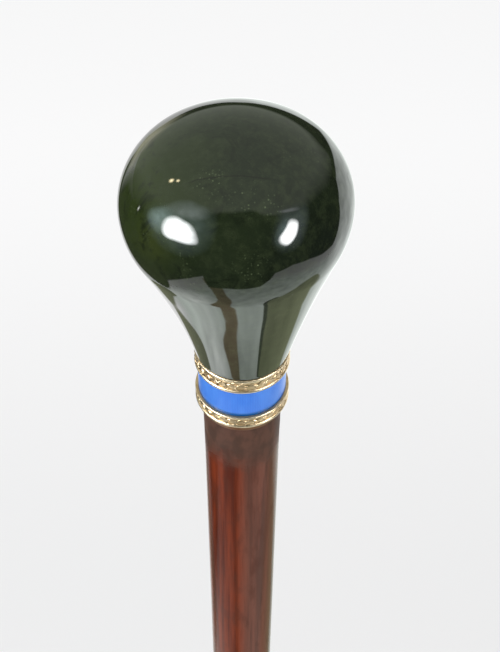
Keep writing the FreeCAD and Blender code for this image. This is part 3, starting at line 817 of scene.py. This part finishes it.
# The dark of the room, just behind the windows, the haze and the lamps
DARK_COLOUR = (0.9, 1.0, 0.7)
DARK_STRENGTH = 0.05
DARK_DISTANCE = 0.80
DARK_ROWS = 14
DARK_SOFT_FOOT = 1.5
DARK_SURROUND = (
    # Azimuth, lower and upper elevation, and how many degrees of the top are soft
    (-160, -10, 1, 3), (-150, -16, -4, 6), (-140, -50, -12, 18), (-127, -57, 14, 26),
    (-113, -62, 20, 26), (-98, -61, 28, 26), (-83, -55, 34, 20), (-68, -51, 46, 10),
    (-53, -45, 54, 6), (-38, -36, 59, 4), (-29, -30, 61, 3), (-27, -48, 62, 3),
    (-8, -48, 64, 3), (10, -49, 65, 3), (24, -47, 64, 3), (31, -38, 62, 3),
    (34, -29, 60, 4), (50, -25, 52, 5), (68, -29, 44, 7), (84, -34, 40, 11),
    (98, -34, 40, 16), (104, -20, 38, 18), (110, -6, 35, 20), (122, 3, 26, 16),
    (134, 1, 18, 12), (146, -5, 13, 7), (158, -12, 8, 4), (170, -8, 6, 4),
    (180, -7, 3, 3), (190, -11, 2, 3), (200, -10, 1, 3),
)

SKY_PATCHES = (
    # Name, distance, colour, strength, share of the size that fades, outline as azimuth and elevation
    ("left_window", 0.70, (0.95, 0.99, 1.0), 21.0, 0.32,
     ((-76, 23), (-71, 35), (-60, 37), (-50, 37), (-41, 32), (-32, 16), (-42, 9), (-55, 6), (-63, 3),
      (-70, 4), (-74, 12))),
    ("right_window", 0.70, (0.97, 0.99, 1.0), 21.0, 0.32,
     ((59, 38), (66, 29), (61, 19), (55, 11), (49, 6), (43, 5), (37, 14), (39, 22), (48, 28))),
    ("left_haze", 0.76, (0.74, 0.98, 1.0), 0.95, 0.55,
     ((-98, 6), (-94, 22), (-88, 38), (-80, 49), (-70, 55), (-60, 58), (-46, 61), (-30, 61), (-20, 46),
      (-20, 22), (-26, 4), (-44, -12), (-66, -14), (-88, -6))),
    ("left_arch", 0.75, (0.86, 0.99, 1.0), 2.1, 0.75,
     ((-88, 30), (-84, 44), (-74, 54), (-60, 57), (-44, 60), (-34, 54), (-46, 42), (-64, 35),
      (-78, 26))),
    ("left_glare", 0.74, (0.72, 0.97, 1.0), 3.4, 0.85,
     ((-94, 6), (-90, 24), (-82, 38), (-70, 38), (-66, 20), (-66, 2), (-80, -2))),
    ("right_glare", 0.74, (0.72, 0.97, 1.0), 2.0, 0.85,
     ((34, 8), (34, 24), (44, 38), (58, 42), (62, 34), (52, 20), (46, 0))),
    ("right_haze", 0.76, (0.80, 0.97, 1.0), 0.75, 0.6,
     ((52, 52), (66, 52), (82, 44), (88, 36), (80, 24), (68, 10), (56, -6), (42, -6), (32, 4), (30, 22),
      (38, 38))),
    ("right_streak", 0.75, (0.92, 0.97, 1.0), 1.6, 0.7,
     ((54, 54), (66, 49), (78, 40), (76, 34), (66, 41), (56, 48))),
    ("first_warm_lamp", 0.72, (1.0, 0.84, 0.52), 22.0, 0.9,
     ((-109, 39), (-105, 38), (-103, 42), (-107, 44))),
    ("second_warm_lamp", 0.72, (1.0, 0.84, 0.52), 20.0, 0.9,
     ((-106, 45), (-103, 44), (-101, 47), (-104, 48.5))),
    ("small_lamp", 0.72, (1.0, 1.0, 0.96), 7.0, 0.9, ((-102.5, -3), (-100.5, -4), (-100, 3), (-102, 4))),
    ("beige_wall", 0.76, (1.0, 0.97, 0.74), 1.1, 0.8,
     ((-168, -5), (-156, 4), (-142, 3), (-132, -6), (-138, -18), (-150, -20), (-164, -13))),
    ("white_sheet_right", 0.84, (0.95, 1.0, 0.97), 1.40, 0.25,
     ((102, 8), (125, 12), (142, 9), (160, 2), (184, 0), (192, -14), (192, -40), (178, -60), (150, -62),
      (120, -60), (98, -52), (94, -24))),
)

FLOOR_PATCHES = (
    # Name, height over the floor in millimetres, colour, strength, share that fades, outline in metres
    ("near_floor", 1, (0.90, 1.0, 0.92), 1.05, 0.3,
     ((-0.5, -1.3), (0.8, -1.3), (1.1, 0.0), (0.8, 0.9), (-0.3, 0.9), (-0.6, 0.0))),
    ("white_sheet_left", 2, (0.95, 1.0, 0.96), 1.80, 0.8,
     ((-0.06, -0.12), (-0.20, -0.44), (-0.40, -0.46), (-0.52, -0.24), (-0.53, 0.06), (-0.40, 0.28),
      (-0.22, 0.26), (-0.09, 0.10))),
    ("olive_mat_right", 4, (0.92, 1.0, 0.62), 0.42, 0.05,
     ((0.184, 0.09), (0.186, 0.0), (0.195, -0.045), (0.222, -0.105), (0.27, -0.135), (0.36, -0.105),
      (0.45, -0.095), (0.60, -0.055), (0.67, 0.10), (0.55, 0.26), (0.42, 0.385), (0.32, 0.375),
      (0.245, 0.22))),
    # A dim strip along the olive mat's edge that paints the mat's shadow
    ("mat_edge_shadow", 3, (0.9, 1.0, 0.8), 0.14, 0.1,
     ((0.162, 0.09), (0.162, 0.0), (0.17, -0.055), (0.20, -0.125), (0.28, -0.17), (0.34, -0.14),
      (0.30, 0.0), (0.24, 0.15))),
    ("olive_mat_left", 4, (0.95, 1.0, 0.66), 0.30, 0.12,
     ((-0.41, 0.15), (-0.32, 0.18), (-0.295, 0.26), (-0.28, 0.36), (-0.258, 0.45), (-0.245, 0.55),
      (-0.30, 0.58), (-0.38, 0.45), (-0.43, 0.28))),
    ("white_sheet_far", 3, (1.0, 1.0, 1.0), 1.2, 0.4,
     ((-0.305, 0.26), (-0.297, 0.40), (-0.275, 0.50), (-0.27, 0.62), (-0.20, 0.90), (-0.06, 0.90),
      (-0.11, 0.58), (-0.18, 0.40), (-0.22, 0.22))),
    ("dark_mat", 3, (0.9, 1.0, 0.7), 0.05, 0.06,
     ((-0.46, 0.04), (-0.60, -0.10), (-0.78, -0.22), (-1.1, -0.80), (-1.8, -1.6), (-2.2, 0.0),
      (-1.6, 1.2), (-0.62, 0.60), (-0.44, 0.32), (-0.40, 0.17))),
)

BROWN_MAT_COLOUR = (1.0, 0.78, 0.52)
BROWN_MAT_STRENGTH = 0.42
BROWN_MAT_HEIGHT = 5
BROWN_MAT_EDGES = (
    # Left and right edge in metres, from well in front of the stick to its foot
    ((-0.66, -1.10), (-0.47, -1.36)),
    ((-0.437, -0.792), (-0.275, -0.999)),
    ((-0.302, -0.616), (-0.154, -0.719)),
    ((-0.209, -0.426), (-0.092, -0.497)),
    ((-0.163, -0.295), (-0.039, -0.357)),
    ((-0.162, -0.200), (-0.028, -0.247)),
    ((-0.172, -0.130), (-0.034, -0.180)),
    ((-0.178, -0.085), (-0.034, -0.110)),
    ((-0.178, -0.045), (-0.020, -0.060)),
    ((-0.160, -0.022), (-0.004, -0.034)),
    ((-0.108, -0.010), (0.002, -0.018)),
    ((-0.092, 0.012), (-0.004, 0.004)),
)


def direction(azimuth, elevation):
    """A direction, with azimuth 0 towards the camera and 90 towards +X, in degrees."""
    turn = math.radians(azimuth)
    rise = math.radians(elevation)
    return Vector((math.sin(turn) * math.cos(rise), -math.cos(turn) * math.cos(rise), math.sin(rise)))


def in_room(corner, distance):
    """The place at an azimuth and an elevation, seen from the middle of the knob."""
    return KNOB_CENTRE + direction(*corner) * distance


def over_floor(corner, height):
    """The place over the floor, with its height in millimetres."""
    return (*corner, height * MM)


def hide_card(card):
    """Leave a card to mirror-like reflections alone."""
    card.visible_camera = False
    card.visible_diffuse = False
    card.visible_transmission = False
    card.visible_shadow = False


def rounded(corners, times=2):
    """Cut the corners of a closed outline until it looks drawn round."""
    for repeat in range(times):
        cut = []
        for number, corner in enumerate(corners):
            following = corners[(number + 1) % len(corners)]
            cut.append(corner.lerp(following, 0.25))
            cut.append(corner.lerp(following, 0.75))
        corners = cut
    return corners


def add_card(name, rings, solid_shares, closed, material):
    """A card from rings or rows of points, and how solid each of them is."""
    width = len(rings[0])
    faces = [(row * width + column, row * width + (column + 1) % width,
              (row + 1) * width + (column + 1) % width, (row + 1) * width + column)
             for row in range(len(rings) - 1) for column in range(width if closed else width - 1)]
    mesh = bpy.data.meshes.new(name)
    mesh.from_pydata([point for ring in rings for point in ring], [], faces)
    layer = mesh.uv_layers.new(name="UVMap")
    for loop in mesh.loops:
        layer.data[loop.index].uv = (solid_shares[loop.vertex_index // width], 0)
    mesh.materials.append(material)
    card = bpy.data.objects.new(name, mesh)
    bpy.context.scene.collection.objects.link(card)
    hide_card(card)


def add_patch(name, corners, soft_share, put, offset, material):
    """A card with a round-cornered outline that fades towards its edge over a share of its size.

    put turns a corner and the offset, a distance or a height, into a place.
    """
    outline = rounded([Vector(corner) for corner in corners])
    middle = sum(outline, Vector((0, 0))) / len(outline)
    # The inner three rings are solid, and the outer two fade
    reaches = [0.02, (1 - soft_share) / 2, 1 - soft_share, 1 - soft_share / 2, 1]
    rings = [[put(middle.lerp(corner, reached), offset) for corner in outline] for reached in reaches]
    add_card(name, rings, (1, 1, 1, 0.5, 0), True, material)


def card_material(name, colour, strength):
    """Slightly uneven light of one colour, as solid as the card's map says, with the rest let by."""
    material = bpy.data.materials.new(name)
    material.use_nodes = True
    tree = material.node_tree
    tree.nodes.remove(tree.nodes["Principled BSDF"])
    places = add_node(tree, "TexCoord").outputs
    solid = add_node(tree, "SeparateXYZ", {0: places["UV"]}).outputs[0]
    cloud = noise_value(tree, places["Object"], CARD_CLOUD_SCALE, detail=5.0)
    uneven = remap(tree, cloud, 0.3, 0.7, strength * (1 - CARD_UNEVENNESS),
                   strength * (1 + CARD_UNEVENNESS), "LINEAR")
    light = add_node(tree, "Emission", {"Color": (*colour, 1), "Strength": uneven})
    clear = add_node(tree, "BsdfTransparent")
    mixed = add_node(tree, "MixShader", {0: solid, 1: clear.outputs[0], 2: light.outputs[0]})
    tree.links.new(mixed.outputs[0], tree.nodes["Material Output"].inputs["Surface"])
    return material


def make_cards():
    """What the polished stone mirrors: the dark room, windows and their haze, lamps and mats."""
    # The lowest and the highest row of the dark fade into the room
    rows = [[] for row in range(DARK_ROWS + 3)]
    for azimuth, low, high, soft in DARK_SURROUND:
        solid_low = low + DARK_SOFT_FOOT
        solid_span = high - soft - solid_low
        solid = [solid_low + solid_span * step / DARK_ROWS for step in range(DARK_ROWS + 1)]
        for row, elevation in zip(rows, [low, *solid, high]):
            row.append(in_room((azimuth, elevation), DARK_DISTANCE))
    add_card("dark_surround", rows, (0, *[1] * (DARK_ROWS + 1), 0), False,
             card_material("dark_room", DARK_COLOUR, DARK_STRENGTH))

    for put, patches in ((in_room, SKY_PATCHES), (over_floor, FLOOR_PATCHES)):
        for name, offset, colour, strength, soft_share, corners in patches:
            add_patch(name, corners, soft_share, put, offset, card_material(name, colour, strength))

    # The brown mat fades over a tenth of its width at either side
    rows = [[over_floor(Vector(left).lerp(Vector(right), share), BROWN_MAT_HEIGHT)
             for left, right in BROWN_MAT_EDGES]
            for share in (0, 0.1, 0.9, 1)]
    add_card("brown_mat", rows, (0, 1, 1, 0), False,
             card_material("brown_mat", BROWN_MAT_COLOUR, BROWN_MAT_STRENGTH))


def add_lamp(name, azimuth, elevation, distance, size, power, colour):
    """A soft square lamp that faces the knob."""
    lamp = bpy.data.lights.new(name, "AREA")
    lamp.shape = "SQUARE"
    lamp.size = size
    lamp.energy = power
    lamp.color = colour
    holder = bpy.data.objects.new(name, lamp)
    holder.location = in_room((azimuth, elevation), distance)
    holder.rotation_mode = "QUATERNION"
    holder.rotation_quaternion = direction(azimuth, elevation).to_track_quat("Z", "Y")
    holder.visible_camera = False
    holder.visible_glossy = False
    bpy.context.scene.collection.objects.link(holder)


def make_floor():
    """The floor, kept pale behind the stick and far away, for the camera and in mirrors."""
    half = FLOOR_HALF_WIDTH
    mesh = bpy.data.meshes.new("floor")
    mesh.from_pydata([(-half, -half, 0), (half, -half, 0), (half, half, 0), (-half, half, 0)],
                     [], [(0, 1, 2, 3)])
    material, tree, shader, place = start_material("pale_floor")
    rays = add_node(tree, "LightPath").outputs
    seen = compute(tree, "MAXIMUM", rays["Is Camera Ray"], rays["Is Glossy Ray"])
    behind = remap(tree, split(tree, place)[1], *GLOW_BEHIND_STICK)
    away = remap(tree, axis_distance(tree, place), *GLOW_AWAY_FROM_STICK)
    glow = compute(tree, "MULTIPLY", compute(tree, "MAXIMUM", behind, away), seen)
    set_shader(tree, shader, Base_Color=(*FLOOR_COLOUR, 1), Roughness=1.0, Specular_IOR_Level=0.0,
               Emission_Color=(1, 1, 1, 1), Emission_Strength=glow)
    mesh.materials.append(material)
    floor = bpy.data.objects.new("floor", mesh)
    bpy.context.scene.collection.objects.link(floor)


def make_world():
    """A pale room for the camera, a dim ceiling in reflections and even light for the rest."""
    world = bpy.data.worlds.new("studio")
    bpy.context.scene.world = world
    world.use_nodes = True
    tree = world.node_tree
    ambient = tree.nodes["Background"]
    ambient.inputs["Color"].default_value = (1, 1, 1, 1)
    ambient.inputs["Strength"].default_value = AMBIENT_LIGHT
    pale = add_node(tree, "Background", {"Color": (*ROOM, 1), "Strength": 1.0})
    ceiling = add_node(tree, "Background", {"Color": (*CEILING, 1), "Strength": 1.0})
    rays = add_node(tree, "LightPath").outputs
    mirrored = add_node(tree, "MixShader", {0: rays["Is Glossy Ray"], 1: ambient.outputs[0],
                                            2: ceiling.outputs[0]})
    seen = add_node(tree, "MixShader", {0: rays["Is Camera Ray"], 1: mirrored.outputs[0],
                                        2: pale.outputs[0]})
    tree.links.new(seen.outputs[0], tree.nodes["World Output"].inputs["Surface"])


def make_camera():
    """The camera at the photograph's place and angle."""
    forward = Vector((math.sin(VIEW_ASIDE) * math.cos(VIEW_DOWN),
                      math.cos(VIEW_ASIDE) * math.cos(VIEW_DOWN),
                      -math.sin(VIEW_DOWN)))
    level = Vector((math.cos(VIEW_ASIDE), -math.sin(VIEW_ASIDE), 0))
    upright = level.cross(forward)
    right = level * math.cos(VIEW_ROLL) + upright * math.sin(VIEW_ROLL)
    up = upright * math.cos(VIEW_ROLL) - level * math.sin(VIEW_ROLL)
    data = bpy.data.cameras.new("photo_camera")
    data.sensor_width = SENSOR_SIZE
    data.lens = FOCAL_PIXELS * SENSOR_SIZE / PHOTO_LONG_SIDE_PIXELS
    camera = bpy.data.objects.new("photo_camera", data)
    camera.matrix_world = Matrix.Translation((0, -EYE_BEFORE_STICK, SEAT_HEIGHT + EYE_ABOVE_SEAT)) @ (
        Matrix((right, up, -forward)).transposed().to_4x4())
    bpy.context.scene.collection.objects.link(camera)
    bpy.context.scene.camera = camera


def main():
    """Dress the stick, light it, and look at it as the photograph does."""
    bpy.context.scene.view_settings.view_transform = "Standard"
    make_camera()
    materials = {
        "green_stone": green_stone(),
        "gilt_metal": gilt_metal(),
        "blue_enamel": blue_enamel(),
        "lacquered_wood": lacquered_wood(),
        **{name: turned_metal(name, *looks) for name, looks in TURNED_METALS.items()},
        "cement": setting_cement(),
    }
    dress_cad_nodes(materials)
    make_pommel(materials["green_stone"])
    for side in ("upper", "lower"):
        make_lip(f"{side}_rim_lip", f"{side}_rim_wire", materials["gilt_metal"])
        make_leaf_band(f"{side}_leaf_band", materials["gilt_metal"])
        make_rim_wire(f"{side}_rim_wire", materials["gilt_metal"])
    make_enamel(materials["blue_enamel"])
    make_sleeve(materials["gilt_metal"])
    make_shaft(materials["lacquered_wood"])
    make_ferrule(materials["brass"], materials["tip_steel"])
    make_floor()
    make_world()
    make_cards()
    for lamp in LAMPS:
        add_lamp(*lamp)


main()
